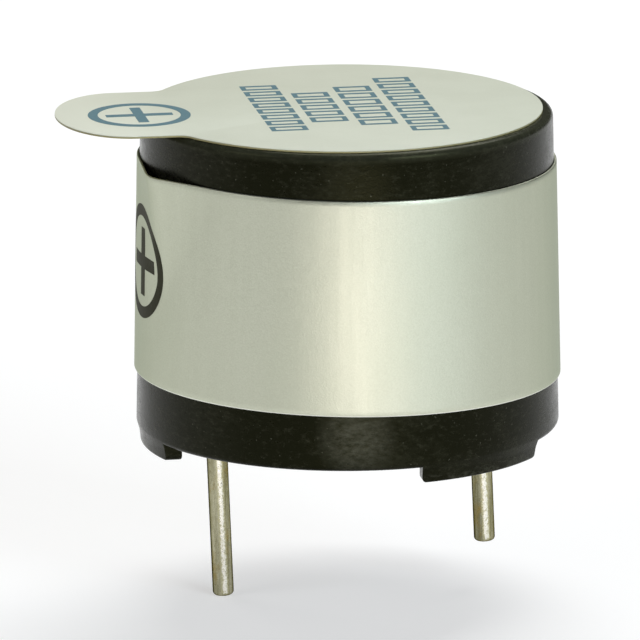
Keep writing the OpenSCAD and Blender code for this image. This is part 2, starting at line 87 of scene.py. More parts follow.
def make_piece(name, verts, faces, slot, stands_for=(), sharp=30.0, weld=1e-6):
    """A smooth-shaded mesh that rides on the body, from points in millimetres."""
    mesh = bpy.data.meshes.new(name)
    mesh.from_pydata([tuple(v) for v in np.asarray(verts, float) * MM], [], [tuple(f) for f in faces])
    work = bmesh.new()
    work.from_mesh(mesh)
    bmesh.ops.remove_doubles(work, verts=work.verts, dist=weld)
    bmesh.ops.recalc_face_normals(work, faces=work.faces)
    work.to_mesh(mesh)
    work.free()
    mesh.shade_smooth()
    mesh.set_sharp_from_angle(angle=math.radians(sharp))
    piece = bpy.data.objects.new(name, mesh)
    bpy.context.scene.collection.objects.link(piece)
    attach(piece, "root")
    if stands_for:
        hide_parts(*stands_for)
    return piece


def grid_faces(rows, columns, first=0, wrap_rows=False, wrap_columns=False):
    """Quads of a grid of points stored row by row."""
    faces = []
    for i in range(rows if wrap_rows else rows - 1):
        for j in range(columns if wrap_columns else columns - 1):
            i2, j2 = (i + 1) % rows, (j + 1) % columns
            faces.append((first + i * columns + j, first + i2 * columns + j,
                          first + i2 * columns + j2, first + i * columns + j2))
    return faces


def shell(outer, inner, wrap=False):
    """A closed thin sheet between two grids of points of shape (rows, columns, 3)."""
    rows, columns = outer.shape[:2]
    count = rows * columns
    verts = np.concatenate([outer.reshape(-1, 3), inner.reshape(-1, 3)])
    faces = grid_faces(rows, columns, 0, wrap) + grid_faces(rows, columns, count, wrap)
    for j in (0, columns - 1):
        for i in range(rows if wrap else rows - 1):
            a, b = i * columns + j, (i + 1) % rows * columns + j
            faces.append((a, b, b + count, a + count))
    if not wrap:
        for i in (0, rows - 1):
            for j in range(columns - 1):
                a = i * columns + j
                faces.append((a, a + 1, a + 1 + count, a + count))
    return verts, faces


def join_shells(shells):
    """Several (verts, faces) as one."""
    verts, faces, first = [], [], 0
    for v, f in shells:
        verts.append(v)
        faces += [tuple(first + k for k in face) for face in f]
        first += len(v)
    return np.concatenate(verts), faces


def lathe(profile, columns):
    """A closed surface of revolution from a closed loop of (radius, height)."""
    angles = np.linspace(0, 360, columns, endpoint=False)
    loop = np.array(profile, float)
    verts = np.stack([np.outer(cos(angles), loop[:, 0]), np.outer(sin(angles), loop[:, 0]),
                      np.tile(loop[:, 1], (columns, 1))], -1).reshape(-1, 3)
    return verts, grid_faces(columns, len(loop), 0, True, True)


def arc(centre, radius, start, end, count):
    """Points of an arc between two angles."""
    return [(centre[0] + radius * cos(a), centre[1] + radius * sin(a))
            for a in np.linspace(start, end, count)]


# Case
def case_r(z):
    """Outer radius of the case, which narrows towards the top."""
    return RIM_R - DRAFT * (z - FOOT_H) / (CASE_H - FOOT_H)


def case_profiles():
    """The rim alone and with a foot, as closed loops of (radius, height) with as many points each."""
    edge_z, rim_z = CASE_H - TOP_EDGE_R, FOOT_H + RIM_EDGE_R
    foot_top_r = RIM_R - FOOT_INSET
    foot_low_r = foot_top_r - FOOT_DRAFT
    centre_r = case_r(rim_z) - RIM_EDGE_R
    meet = math.degrees(math.acos((foot_top_r - centre_r) / RIM_EDGE_R))
    above = ([(PORT_R, CEILING_Z)]
             + arc((PORT_R + PORT_EDGE_R, CASE_H - PORT_EDGE_R), PORT_EDGE_R, 180, 90, 4)
             + [(TOP_RING_R, CASE_H)]
             + arc((case_r(edge_z) - TOP_EDGE_R, edge_z), TOP_EDGE_R, 90, 0, 10)
             + [(case_r(z), z) for z in np.linspace(edge_z, rim_z, 24)[1:]])
    corner = arc((centre_r, rim_z), RIM_EDGE_R, 0, -meet, 6)[1:]
    rim = corner + arc((centre_r, rim_z), RIM_EDGE_R, -meet, -90, 10)[1:]
    low = arc((foot_low_r - FOOT_EDGE_R, FOOT_EDGE_R), FOOT_EDGE_R, 0, -90, len(rim) - len(corner))
    step_z = rim_z - FOOT_STEP_H
    foot = [(case_r(rim_z) + (foot_top_r - case_r(rim_z)) * k, rim_z + (step_z - rim_z) * k)
            for k in np.linspace(0, 1, len(corner) + 1)[1:]] + low
    inner_r = foot_low_r - FOOT_T
    rim += [(inner_r + FOOT_CHAMFER, FOOT_H), (inner_r, FOOT_H)]
    foot += [(inner_r + FOOT_CHAMFER, 0.0), (inner_r, FOOT_CHAMFER)]
    inside = [(inner_r, FOOT_H), (BORE_R, FOOT_H), (BORE_R, STEP_Z), (CHAMBER_R, STEP_Z),
              (CHAMBER_R, CEILING_Z)]
    return np.array(above + rim + inside), np.array(above + foot + inside)


def foot_ends():
    """For each foot round the case, the walls at its two ends as angle functions of radius and inset."""
    def side_y(r, inset):
        return np.degrees(np.arcsin((SIDE_FOOT_Y + inset) / r))

    def side_x(r, inset):
        return np.degrees(np.arccos((SIDE_FOOT_X + inset) / r))

    def back(r, inset):
        return np.degrees(np.arcsin((FOOT_W / 2 - inset) / r))

    return ((side_y, side_x),
            (lambda r, inset: 180 - back(r, inset), lambda r, inset: 180 + back(r, inset)),
            (lambda r, inset: 360 - side_x(r, inset), lambda r, inset: 360 - side_y(r, inset)))


def make_case():
    """The case, swept round its axis: the loop changes from the rim to a foot at each foot's end walls."""
    rim, foot = case_profiles()
    rim_reach, foot_reach = np.maximum(rim[:, 0], CHAMBER_R), np.maximum(foot[:, 0], CHAMBER_R)
    corner = np.linspace(90, 0, 8)
    rounding, insets = FOOT_CORNER_R * (1 - cos(corner)), FOOT_CORNER_R * (1 - sin(corner))
    rings = []

    def add(loop, angles, lowest):
        r, z = loop[:, 0], np.maximum(loop[:, 1], lowest)
        rings.append(np.stack([r * cos(angles), r * sin(angles), z], -1))

    ends = foot_ends()
    for k, (start, end) in enumerate(ends):
        add(rim, start(rim_reach, 0), FOOT_H)
        for inset, lowest in zip(insets, rounding):
            add(foot, start(foot_reach, inset), lowest)
        first, last = start(foot_reach, FOOT_CORNER_R), end(foot_reach, FOOT_CORNER_R)
        for share in np.linspace(0, 1, 44)[1:-1]:
            add(foot, first + (last - first) * share, 0.0)
        for inset, lowest in zip(insets[::-1], rounding[::-1]):
            add(foot, end(foot_reach, inset), lowest)
        add(rim, end(rim_reach, 0), FOOT_H)
        following = ends[(k + 1) % len(ends)][0](rim_reach, 0) + (360 if k + 1 == len(ends) else 0)
        leaving = end(rim_reach, 0)
        for share in np.linspace(0, 1, 80)[1:-1]:
            add(rim, leaving + (following - leaving) * share, FOOT_H)
    verts = np.concatenate(rings)
    return make_piece("case_shell", verts, grid_faces(len(rings), len(rim), 0, True, True),
                      "case_plastic", ["case"])


# Foil label
def creased_r(r, a, lift):
    """Radius of the foil at angle a from its crease, whose fold is slightly rounded."""
    reach = np.degrees(np.arccos(r / (r + lift)))
    away = np.where(np.abs(a) < CREASE_FOLD, (a * a / CREASE_FOLD + CREASE_FOLD) / 2, np.abs(a))
    return np.where(np.abs(a) < reach, r / cos(np.maximum(reach - away, 0)), r)


def label_point(s, t, layer):
    """Points of the foil: s is the angle run along it, t the share of its height, layer 0 in and 1 out."""
    a = LABEL_SEAM + s
    share = np.maximum(0, (t - CREASE_FROM) / (1 - CREASE_FROM))
    inner = case_r(LABEL_Z + LABEL_H * t) + LABEL_GAP
    r = creased_r(inner, a - CREASE_AT, CREASE_LIFT * share**CREASE_FADE)
    step = np.clip((s - 360 + LABEL_LAP) / LABEL_LAP, 0, 1)
    r = r + step * step * (3 - 2 * step) * (LABEL_T + BOND_GAP) + layer * LABEL_T
    x, y = r * cos(a), r * sin(a)
    return np.stack([x, y, LABEL_Z + LABEL_H * t - x * math.tan(math.radians(LABEL_TILT))], -1)


def make_label():
    """The foil as one closed strip with more points at its fold and softened cut edges."""
    fold = CREASE_AT - LABEL_SEAM + np.linspace(-CREASE_FOLD, CREASE_FOLD, 24)
    s = np.sort(np.concatenate([np.linspace(0, 360 + LABEL_LAP, 520), fold]))
    edge = LABEL_EDGE
    t = np.concatenate([[0, edge / 2], np.linspace(edge, 1 - edge, 44), [1 - edge / 2, 1]])
    run, rise = np.meshgrid(s, t, indexing="ij")
    turn_in = np.clip(1 - np.minimum(rise, 1 - rise) / edge, 0, 1) ** 2
    outer = label_point(run, rise, 1 - LABEL_EDGE_DROP * turn_in)
    inner = label_point(run, rise, 0.0)
    verts, faces = shell(outer, inner)
    return make_piece("label_wrap", verts, faces, "label_foil", ["side_label"], sharp=60)


def label_print_point(u, v, lift):
    """Points on the foil at u millimetres round from the mark's middle and v up from it."""
    a = LABEL_MARK_AT + np.degrees(u / (RIM_R + LABEL_T))
    return label_point(a - LABEL_SEAM, LABEL_MARK_T + v / LABEL_H, 1 + lift / LABEL_T)


def seal_print_point(u, v, lift):
    """Points on the seal at u millimetres along X and v along Y."""
    return np.stack([u, v, np.full(u.shape, CASE_H + SEAL_T) + lift], -1)


def plate(surface, u, v, wrap=False):
    """A thin printed film on a surface, from grids of its plane coordinates."""
    return shell(surface(u, v, INK_GAP + INK_T), surface(u, v, INK_GAP), wrap)


def bar(surface, middle, length, width, angle, parts=12):
    """A printed bar: its length runs at that angle from u."""
    along, across = np.meshgrid(np.linspace(-length / 2, length / 2, parts + 1),
                                np.linspace(-width / 2, width / 2, 4), indexing="ij")
    return plate(surface, middle[0] + along * cos(angle) - across * sin(angle),
                 middle[1] + along * sin(angle) + across * cos(angle))


def ring(surface, middle, half_u, half_v, stroke, parts=120):
    """A printed ring: half_u and half_v run to the middle of its stroke."""
    a, off = np.meshgrid(np.linspace(0, 360, parts, endpoint=False),
                         np.linspace(-stroke / 2, stroke / 2, 5), indexing="ij")
    return plate(surface, middle[0] + (half_u + off) * cos(a), middle[1] + (half_v + off) * sin(a), True)


def plus(surface, middle, length, width, angle=0.0):
    """A printed plus of one long bar and two short ones beside it, so that no two films overlap."""
    short = (length - width) / 2
    side = (length + width) / 4
    return [bar(surface, middle, length, width, angle + 90)] + [
        bar(surface, (middle[0] + k * side * cos(angle), middle[1] + k * side * sin(angle)),
            short, width, angle)
        for k in (-1, 1)]


# The foil's mark: its angle round the case, the share of the foil's height and its sizes
LABEL_MARK_AT, LABEL_MARK_T = 186.0, 0.549
LABEL_MARK_R, LABEL_MARK_STROKE, LABEL_PLUS, LABEL_PLUS_W = 1.46, 0.33, 1.95, 0.38
LABEL_PLUS_SHIFT = 0.08

# The tab's mark
SEAL_MARK = (-5.92, 0.0)
SEAL_MARK_HALF, SEAL_MARK_STROKE, SEAL_PLUS, SEAL_PLUS_W = (1.31, 1.37), 0.28, 1.9, 0.3

# Rows of plain frames where the seal carries words: X and Y of the middle, length, number of frames
WORD_ROWS = ((-2.05, 0.2, 5.9, 8), (-0.75, 0.1, 3.8, 5), (0.55, 0.1, 5.0, 6), (1.85, 0.1, 6.9, 9))
WORD_HEIGHT, WORD_STROKE, WORD_SPACE = 1.05, 0.15, 0.2


def word_row(x, y, length, count):
    """A row of plain upright frames, which stands for a word without spelling it."""
    shapes = []
    pitch = (length + WORD_SPACE) / count
    width = pitch - WORD_SPACE
    for k in range(count):
        middle = y - length / 2 + width / 2 + k * pitch
        for side in (-1, 1):
            shapes.append(bar(seal_print_point, (x, middle + side * (width - WORD_STROKE) / 2),
                              WORD_HEIGHT, WORD_STROKE, 0, 4))
            shapes.append(bar(seal_print_point, (x + side * (WORD_HEIGHT - WORD_STROKE) / 2, middle),
                              width - 2 * WORD_STROKE, WORD_STROKE, 90, 4))
    return shapes


def make_prints():
    """The print on the foil and the print on the seal, one piece each."""
    shapes = [ring(label_print_point, (0.0, 0.0), LABEL_MARK_R, LABEL_MARK_R, LABEL_MARK_STROKE)]
    shapes += plus(label_print_point, (LABEL_PLUS_SHIFT, 0.0), LABEL_PLUS, LABEL_PLUS_W)
    label_mark = make_piece("label_print", *join_shells(shapes), "print_olive", sharp=60, weld=1e-8)
    shapes = [ring(seal_print_point, SEAL_MARK, *SEAL_MARK_HALF, SEAL_MARK_STROKE)]
    shapes += plus(seal_print_point, SEAL_MARK, SEAL_PLUS, SEAL_PLUS_W)
    for row in WORD_ROWS:
        shapes += word_row(*row)
    return label_mark, make_piece("seal_print", *join_shells(shapes), "print_blue", sharp=60, weld=1e-8)


# Paper seal
def seal_outline():
    """Outline of the seal with its tab nearly towards -X."""
    half = TAB_W / 2
    neck_y = half + NECK_R
    neck = (SEAL_SHIFT + math.sqrt((SEAL_R + NECK_R) ** 2 - neck_y**2), neck_y)
    turn = math.degrees(math.atan2(neck_y, neck[0] - SEAL_SHIFT))
    end_x = TAB_REACH - TAB_END
    points = arc((SEAL_SHIFT, 0), SEAL_R, turn, 360 - turn, 260)
    points += arc((neck[0], -neck[1]), NECK_R, 180 - turn, 90, 12)[1:]
    points += [(end_x + TAB_END * cos(a), half * sin(a)) for a in np.linspace(-90, 90, 90)]
    points += arc(neck, NECK_R, -90, turn - 180, 12)[:-1]
    x, y = np.array(points).T
    back = 180 - SEAL_TURN
    return np.column_stack([x * cos(back) - y * sin(back), x * sin(back) + y * cos(back)])


def make_seal():
    """The seal as one flat sheet with slightly rounded edges."""
    outline = seal_outline()
    count, edge = len(outline), SEAL_EDGE
    ahead, behind = np.roll(outline, -1, 0), np.roll(outline, 1, 0)
    along = (ahead - behind) / np.linalg.norm(ahead - behind, axis=1)[:, None]
    outward = np.stack([along[:, 1], -along[:, 0]], -1)
    top_z = CASE_H + SEAL_T
    levels = [(edge, CASE_H), (0, CASE_H + edge), (0, top_z - edge), (edge * 0.3, top_z - edge * 0.3),
              (edge, top_z)]
    verts = np.concatenate([np.column_stack([outline - outward * inset, np.full(count, z)])
                            for inset, z in levels])
    faces = grid_faces(len(levels), count, 0, False, True)
    faces += [tuple(range(count))[::-1], tuple((len(levels) - 1) * count + k for k in range(count))]
    return make_piece("seal_sheet", verts, faces, "seal_paper", ["wash_seal"], sharp=25)


# Pins
def make_pin(node, x):
    """A round wire from the board down through the bend to a cut and softened end."""
    lean = PIN_LEAN
    bend = np.array([x, 0, PIN_BEND_Z])
    down = np.array([sin(lean), 0, -cos(lean)])
    reach = PIN_BEND_Z + PIN_REACH[node]
    near = 0.1
    rings = [((x, 0, PIN_TOP_Z), 0, PIN_R - PIN_CHAMFER), ((x, 0, PIN_TOP_Z - PIN_CHAMFER), 0, PIN_R)]
    rings += [((x, 0, z), 0, PIN_R) for z in np.linspace(PIN_TOP_Z - 2 * near, PIN_BEND_Z + near, 6)]
    rings += [(bend, lean / 2, PIN_R)]
    rings += [(bend + down * d, lean, PIN_R) for d in np.linspace(near, reach - PIN_TIP_R, 24)]
    rings += [(bend + down * (reach - PIN_TIP_R + PIN_TIP_R * sin(a)), lean,
               PIN_R - PIN_TIP_R * (1 - cos(a))) for a in np.linspace(15, 90, 6)]
    around = np.linspace(0, 360, 96, endpoint=False)
    verts = []
    for centre, tilt, radius in rings:
        side = np.array([cos(tilt), 0, sin(tilt)])
        circle = np.outer(cos(around), side) + np.outer(sin(around), [0, 1, 0])
        verts.append(np.array(centre) + radius * circle)
    count = len(around)
    faces = grid_faces(len(rings), count, 0, False, True)
    faces += [tuple(range(count)), tuple((len(rings) - 1) * count + k for k in range(count))]
    return make_piece(node + "_wire", np.concatenate(verts), faces, "pin_metal", [node], sharp=50)


# Coil
def make_winding():
    """The winding as the turns of its outer and end layers show it."""
    radius = BOBBIN_R - WINDING_INSET
    low, high = YOKE_TOP_Z + FLANGE_T, YOKE_TOP_Z + BOBBIN_H - FLANGE_T
    pitch = (high - low) / COIL_TURNS
    loop = [(TUBE_R + BOND_GAP, high), (TUBE_R + BOND_GAP, low)]
    for k in range(COIL_TURNS):
        loop += arc((radius - pitch / 2, low + (k + 0.5) * pitch), pitch / 2, -80, 80, 6)
    verts, faces = lathe(loop, 120)
    return make_piece("coil_turns", verts, faces, "enamelled_copper", ["coil_winding"], sharp=50)


# Materials
class Look:
    """A procedural material whose textures lie in the object's own frame, scaled to millimetres."""

    def __init__(self, name, color, roughness, metallic=0.0, **sockets):
        self.material = bpy.data.materials.new(name)
        self.material.use_nodes = True
        self.tree = self.material.node_tree
        self.shader = self.tree.nodes["Principled BSDF"]
        self.set(self.shader, "Base Color", (*color, 1))
        self.set(self.shader, "Roughness", roughness)
        self.set(self.shader, "Metallic", metallic)
        for socket, value in sockets.items():
            self.set(self.shader, socket.replace("_", " "), value)
        self.place = self.tree.nodes.new("ShaderNodeTexCoord").outputs["Object"]
        self.normal = None

    def set(self, node, socket, value):
        node.inputs[socket].default_value = value

    def link(self, source, node, socket):
        self.tree.links.new(source, node.inputs[socket])

    def noise(self, scale, detail=3.0, stretch=(1, 1, 1), rough=0.5, offset=(0, 0, 0)):
        """Noise with scale features a millimetre; stretch above 1 makes it finer on that axis."""
        mapping = self.tree.nodes.new("ShaderNodeMapping")
        self.set(mapping, "Scale", [1000 * k for k in stretch])
        self.set(mapping, "Location", offset)
        self.link(self.place, mapping, "Vector")
        texture = self.tree.nodes.new("ShaderNodeTexNoise")
        self.set(texture, "Scale", scale)
        self.set(texture, "Detail", detail)
        self.set(texture, "Roughness", rough)
        self.link(mapping.outputs["Vector"], texture, "Vector")
        return texture.outputs["Fac"]

    def span(self, value, low, high, to_low=0.0, to_high=1.0):
        """Maps a value from low..high to another span, clamped."""
        node = self.tree.nodes.new("ShaderNodeMapRange")
        ends = {"From Min": low, "From Max": high, "To Min": to_low, "To Max": to_high}
        for socket, number in ends.items():
            self.set(node, socket, number)
        self.link(value, node, "Value")
        return node.outputs["Result"]

    def math(self, operation, a, b):
        node = self.tree.nodes.new("ShaderNodeMath")
        node.operation = operation
        for k, value in enumerate((a, b)):
            if isinstance(value, (int, float)):
                node.inputs[k].default_value = value
            else:
                self.tree.links.new(value, node.inputs[k])
        return node.outputs["Value"]

    def mix(self, share, a, b):
        """Colour a at share 0 and b at share 1; each is a colour or a socket."""
        node = self.tree.nodes.new("ShaderNodeMix")
        node.data_type = "RGBA"
        self.tree.links.new(share, node.inputs["Factor"])
        for socket, value in (("A", a), ("B", b)):
            target = next(k for k in node.inputs if k.name == socket and k.type == "RGBA")
            if isinstance(value, tuple):
                target.default_value = (*value, 1)
            else:
                self.tree.links.new(value, target)
        return next(k for k in node.outputs if k.type == "RGBA")

    def height(self, axis="Z"):
        """The point's coordinate in millimetres."""
        node = self.tree.nodes.new("ShaderNodeSeparateXYZ")
        self.link(self.place, node, "Vector")
        return self.math("MULTIPLY", node.outputs[axis], 1000.0)

    def near(self, point, inner, outer):
        """1 within inner millimetres of a point, fading to 0 at outer."""
        node = self.tree.nodes.new("ShaderNodeVectorMath")
        node.operation = "DISTANCE"
        node.inputs[1].default_value = [k * MM for k in point]
        self.tree.links.new(self.place, node.inputs[0])
        return self.span(node.outputs["Value"], outer * MM, inner * MM)

    def bump(self, value, depth):
        """Adds relief of that depth in millimetres."""
        node = self.tree.nodes.new("ShaderNodeBump")
        self.set(node, "Strength", 1.0)
        self.set(node, "Distance", depth * MM)
        self.link(value, node, "Height")
        if self.normal:
            self.link(self.normal, node, "Normal")
        self.normal = node.outputs["Normal"]
        self.link(self.normal, self.shader, "Normal")

    def tint(self, value):
        self.link(value, self.shader, "Base Color")

    def gloss(self, value):
        self.link(value, self.shader, "Roughness")

    def on(self, *pieces):
        for piece in pieces:
            piece.data.materials.clear()
            piece.data.materials.append(self.material)


# Places where handling has dulled the case, and spots of painted highlight and painted light on its front
# and left: point, how far it is full and fades out, and how strong it is
WEAR_AND_HIGHLIGHT_SPOTS = (((-0.75, -5.95, 1.4), 0.4, 1.2, 1.0),
              ((2.6, 5.4, 1.2), 0.2, 1.6, 1.0),
              ((-2.0, 5.5, 8.9), 0.2, 1.2, 1.0),
              ((-5.15, -3.05, 8.9), 0.8, 2.3, 0.22),
              ((-5.15, -3.05, 1.1), 0.8, 2.3, 0.22))

# Heights over which the case's top edge is made lighter, and from which and to which wear grows on its
# feet
TOP_EDGE_LIGHTER, FOOT_WEAR = (CASE_H - 0.32, CASE_H - 0.06), (0.3, 0.0)

# Where the tab's paper is painted lighter along X, which is painted light, the height of the seal's cut
# edge, and the heights over which the foil's lower cut edge carries a painted highlight
TAB_PAINTED_LIGHT, SEAL_CUT_Z, LABEL_CUT_HIGHLIGHT = (-4.8, -7.4), CASE_H + SEAL_T - 0.02, (LABEL_Z + 0.045, LABEL_Z + 0.02)


def case_look():
    """Moulded black plastic, dulled by handling in cloudy patches of fine scuffs, with dust specks, and
    with lighter spots on its front and left that are painted highlight and painted light.
    """
    look = Look("case_plastic", (0.004, 0.004, 0.002), 0.22, IOR=1.45, Specular_IOR_Level=0.13,
                Specular_Tint=(0.95, 1, 0.5, 1))
    clouds = look.noise(0.55, 4, (1, 1, 1.4), 0.6)
    scuffs = look.noise(5.0, 6, (0.8, 0.8, 1.6), 0.75, (2, 5, 3))
    specks = look.noise(11.0, 2, (1, 1, 1), 0.5, (3, 1, 7))
    grain = look.noise(24.0, 3)
    rubbed = look.math("ADD", look.math("MULTIPLY", clouds, 0.8), look.math("MULTIPLY", scuffs, 0.7))
    base = look.mix(look.span(rubbed, 0.72, 0.92), (0.0026, 0.0026, 0.0012), (0.013, 0.013, 0.008))
    base = look.mix(look.span(scuffs, 0.55, 0.7), base, (0.024, 0.024, 0.016))
    # Lighter spots: those on the front and left are painted highlight and painted light, those at the back
    # are wear
    for point, inner, outer, strength in WEAR_AND_HIGHLIGHT_SPOTS:
        share = look.math("MULTIPLY", look.near(point, inner, outer),
                          look.span(scuffs, 0.3, 0.62, 0, strength))
        base = look.mix(share, base, (0.066, 0.066, 0.05))
    # The case's top edge is made lighter
    edge = look.math("MULTIPLY", look.span(look.height(), *TOP_EDGE_LIGHTER),
                     look.span(scuffs, 0.2, 0.6, 0.5, 1.0))
    base = look.mix(edge, base, (0.04, 0.042, 0.026))
    feet = look.math("MULTIPLY", look.span(look.height(), *FOOT_WEAR), look.span(scuffs, 0.45, 0.6))
    base = look.mix(feet, base, (0.04, 0.04, 0.03))
    base = look.mix(look.span(specks, 0.7, 0.76), base, (0.08, 0.08, 0.06))
    look.tint(base)
    look.gloss(look.span(rubbed, 0.65, 0.95, 0.16, 0.34))
    look.bump(grain, 0.004)
    look.bump(scuffs, 0.005)
    return look


def seal_look():
    """Coated paper with painted light that makes the tab lighter along X, and dark yellow at its cut edge.
    """
    look = Look("seal_paper", (0.66, 0.69, 0.56), 0.55, IOR=1.45)
    cloud = look.noise(0.6, 3, (1, 1, 1))
    fibre = look.noise(16.0, 5, (1, 1.8, 1), 0.7)
    base = look.mix(look.span(cloud, 0.35, 0.65), (0.67, 0.695, 0.56), (0.70, 0.725, 0.59))
    base = look.mix(look.span(fibre, 0.5, 0.72, 0, 0.4), base, (0.58, 0.6, 0.46))
    # Painted light: the tab is painted lighter along X
    base = look.mix(look.span(look.height("X"), *TAB_PAINTED_LIGHT), base, (0.8, 0.82, 0.68))
    cut = look.math("LESS_THAN", look.height(), SEAL_CUT_Z)
    look.tint(look.mix(cut, base, (0.42, 0.38, 0.18)))
    look.bump(fibre, 0.005)
    return look


def foil_look():
    """Satin foil: a fine grain, long faint streaks up the foil, darker at grazing, a painted highlight
    along its lower cut edge.
    """
    look = Look("label_foil", (0.61, 0.625, 0.52), 0.45, 1.0, Specular_Tint=(0.5, 0.54, 0.49, 1))
    cloud = look.noise(0.35, 3, (1, 1, 0.6))
    grain = look.noise(20.0, 4, (1, 1, 1), 0.65)
    streak = look.noise(3.0, 4, (1, 1, 0.05), 0.6)
    base = look.mix(look.span(cloud, 0.35, 0.65), (0.60, 0.625, 0.50), (0.62, 0.64, 0.52))
    base = look.mix(look.span(grain, 0.35, 0.65, 0, 0.5), base, (0.52, 0.54, 0.42))
    lean = look.math("MULTIPLY", look.height("X"), math.tan(math.radians(LABEL_TILT)))
    rise = look.math("ADD", look.height(), lean)
    # Painted highlight: a light band along the foil's lower cut edge
    look.tint(look.mix(look.span(rise, *LABEL_CUT_HIGHLIGHT), base, (0.95, 0.96, 0.88)))
    look.gloss(look.span(streak, 0.35, 0.65, 0.43, 0.48))
    look.bump(grain, 0.006)
    look.bump(streak, 0.003)
    return look


def print_look(name, color, paper):
    """Ink that lies a little unevenly on what it is printed on."""
    look = Look(name, color, 0.6, Specular_IOR_Level=0.12)
    worn = look.noise(9.0, 5, (1, 1, 1), 0.7)
    look.tint(look.mix(look.span(worn, 0.5, 0.85, 0, 0.4), color, paper))
    look.bump(worn, 0.002)
    return look


def metal_look(name, color, roughness, scale=8.0, stretch=(1, 1, 1), depth=0.004, dark=0.6, **sockets):
    """A bare or plated metal with stains and fine marks."""
    look = Look(name, color, roughness, 1.0, **sockets)
    marks = look.noise(scale, 5, stretch, 0.65)
    stains = look.noise(1.6, 4, (1, 1, 0.5), 0.6, (5, 2, 1))
    shade = tuple(k * dark for k in color)
    look.tint(look.mix(look.span(stains, 0.42, 0.68), color, shade))
    look.gloss(look.span(marks, 0.3, 0.7, roughness * 0.8, roughness * 1.3))
    look.bump(marks, depth)
    return look


# Angle round the wire of its painted highlight line; a second painted highlight line is opposite
PAINTED_HIGHLIGHT_AT = -88.0


def pin_look():
    """Drawn and tinned wire: brown stains and pits, two painted highlight lines and painted shade on its
    sides.
    """
    look = Look("pin_metal", (0.5, 0.48, 0.32), 0.26, 1.0, Specular_Tint=(0.1, 0.09, 0.04, 1))
    streaks = look.noise(6.0, 3, (1, 1, 0.04), 0.6, (3, 0.6, 0))
    marks = look.noise(13.0, 4, (1, 1, 0.3), 0.7)
    pits = look.noise(14.0, 4, (1, 1, 0.7), 0.65, (1, 4, 2))
    stains = look.noise(1.8, 5, (1, 1, 0.6), 0.7, (5, 2, 1))
    lean, highlight_at = math.tan(math.radians(PIN_LEAN)), math.radians(PAINTED_HIGHLIGHT_AT)
    x = look.height("X")
    drop = look.math("MULTIPLY", look.math("SUBTRACT", PIN_BEND_Z, look.height()), lean)
    side = look.math("MULTIPLY", look.math("SIGN", x, 0.0), PIN_X)
    off_x = look.math("SUBTRACT", look.math("SUBTRACT", x, side), drop)
    facing = look.math("ADD", look.math("MULTIPLY", off_x, math.cos(highlight_at) / PIN_R),
                       look.math("MULTIPLY", look.height("Y"), math.sin(highlight_at) / PIN_R))
    ragged = look.math("MULTIPLY", look.math("SUBTRACT", pits, 0.5), 0.16)
    toward = look.math("ADD", look.math("ABSOLUTE", facing, 0.0), ragged)
    base = look.mix(look.span(streaks, 0.4, 0.65), (0.24, 0.225, 0.125), (0.5, 0.48, 0.34))
    base = look.mix(look.span(marks, 0.45, 0.7, 0, 0.5), base, (0.2, 0.185, 0.09))
    base = look.mix(look.span(stains, 0.54, 0.7, 0, 0.7), base, (0.32, 0.23, 0.06))
    # Painted shade: the sides away from the highlight lines are darker
    base = look.mix(look.span(toward, 0.5, 0.12), base, (0.12, 0.115, 0.045))
    # Painted highlight: two bright lines round the wire
    base = look.mix(look.span(toward, 0.9, 0.97, 0, 0.7), base, (0.58, 0.55, 0.34))
    base = look.mix(look.span(toward, 0.965, 1.0), base, (0.98, 0.96, 0.86))
    base = look.mix(look.span(pits, 0.58, 0.72, 0, 0.7), base, (0.14, 0.12, 0.05))
    look.tint(base)
    look.gloss(look.span(pits, 0.3, 0.7, 0.2, 0.36))
    look.bump(marks, 0.004)
    look.bump(pits, 0.005)
    return look


def plain_look(name, color, roughness, scale=10.0, depth=0.004, spread=0.2, **sockets):
    """A moulded, cast or sintered material with grain and uneven colour."""
    look = Look(name, color, roughness, **sockets)
    grain = look.noise(scale, 5, (1, 1, 1), 0.6)
    cloud = look.noise(0.8, 3, (1, 1, 1))
    light = tuple(min(1, k * (1 + spread)) for k in color)
    dark = tuple(k * (1 - spread) for k in color)
    look.tint(look.mix(look.span(cloud, 0.35, 0.65), dark, light))
    look.gloss(look.span(grain, 0.3, 0.7, roughness * 0.85, min(1, roughness * 1.2)))
    look.bump(grain, depth)
    return look


# The pieces and their materials
case = make_case()
label = make_label()
seal = make_seal()
label_mark, seal_mark = make_prints()
pins = [make_pin("pin_positive", -PIN_X), make_pin("pin_negative", PIN_X)]
winding = make_winding()

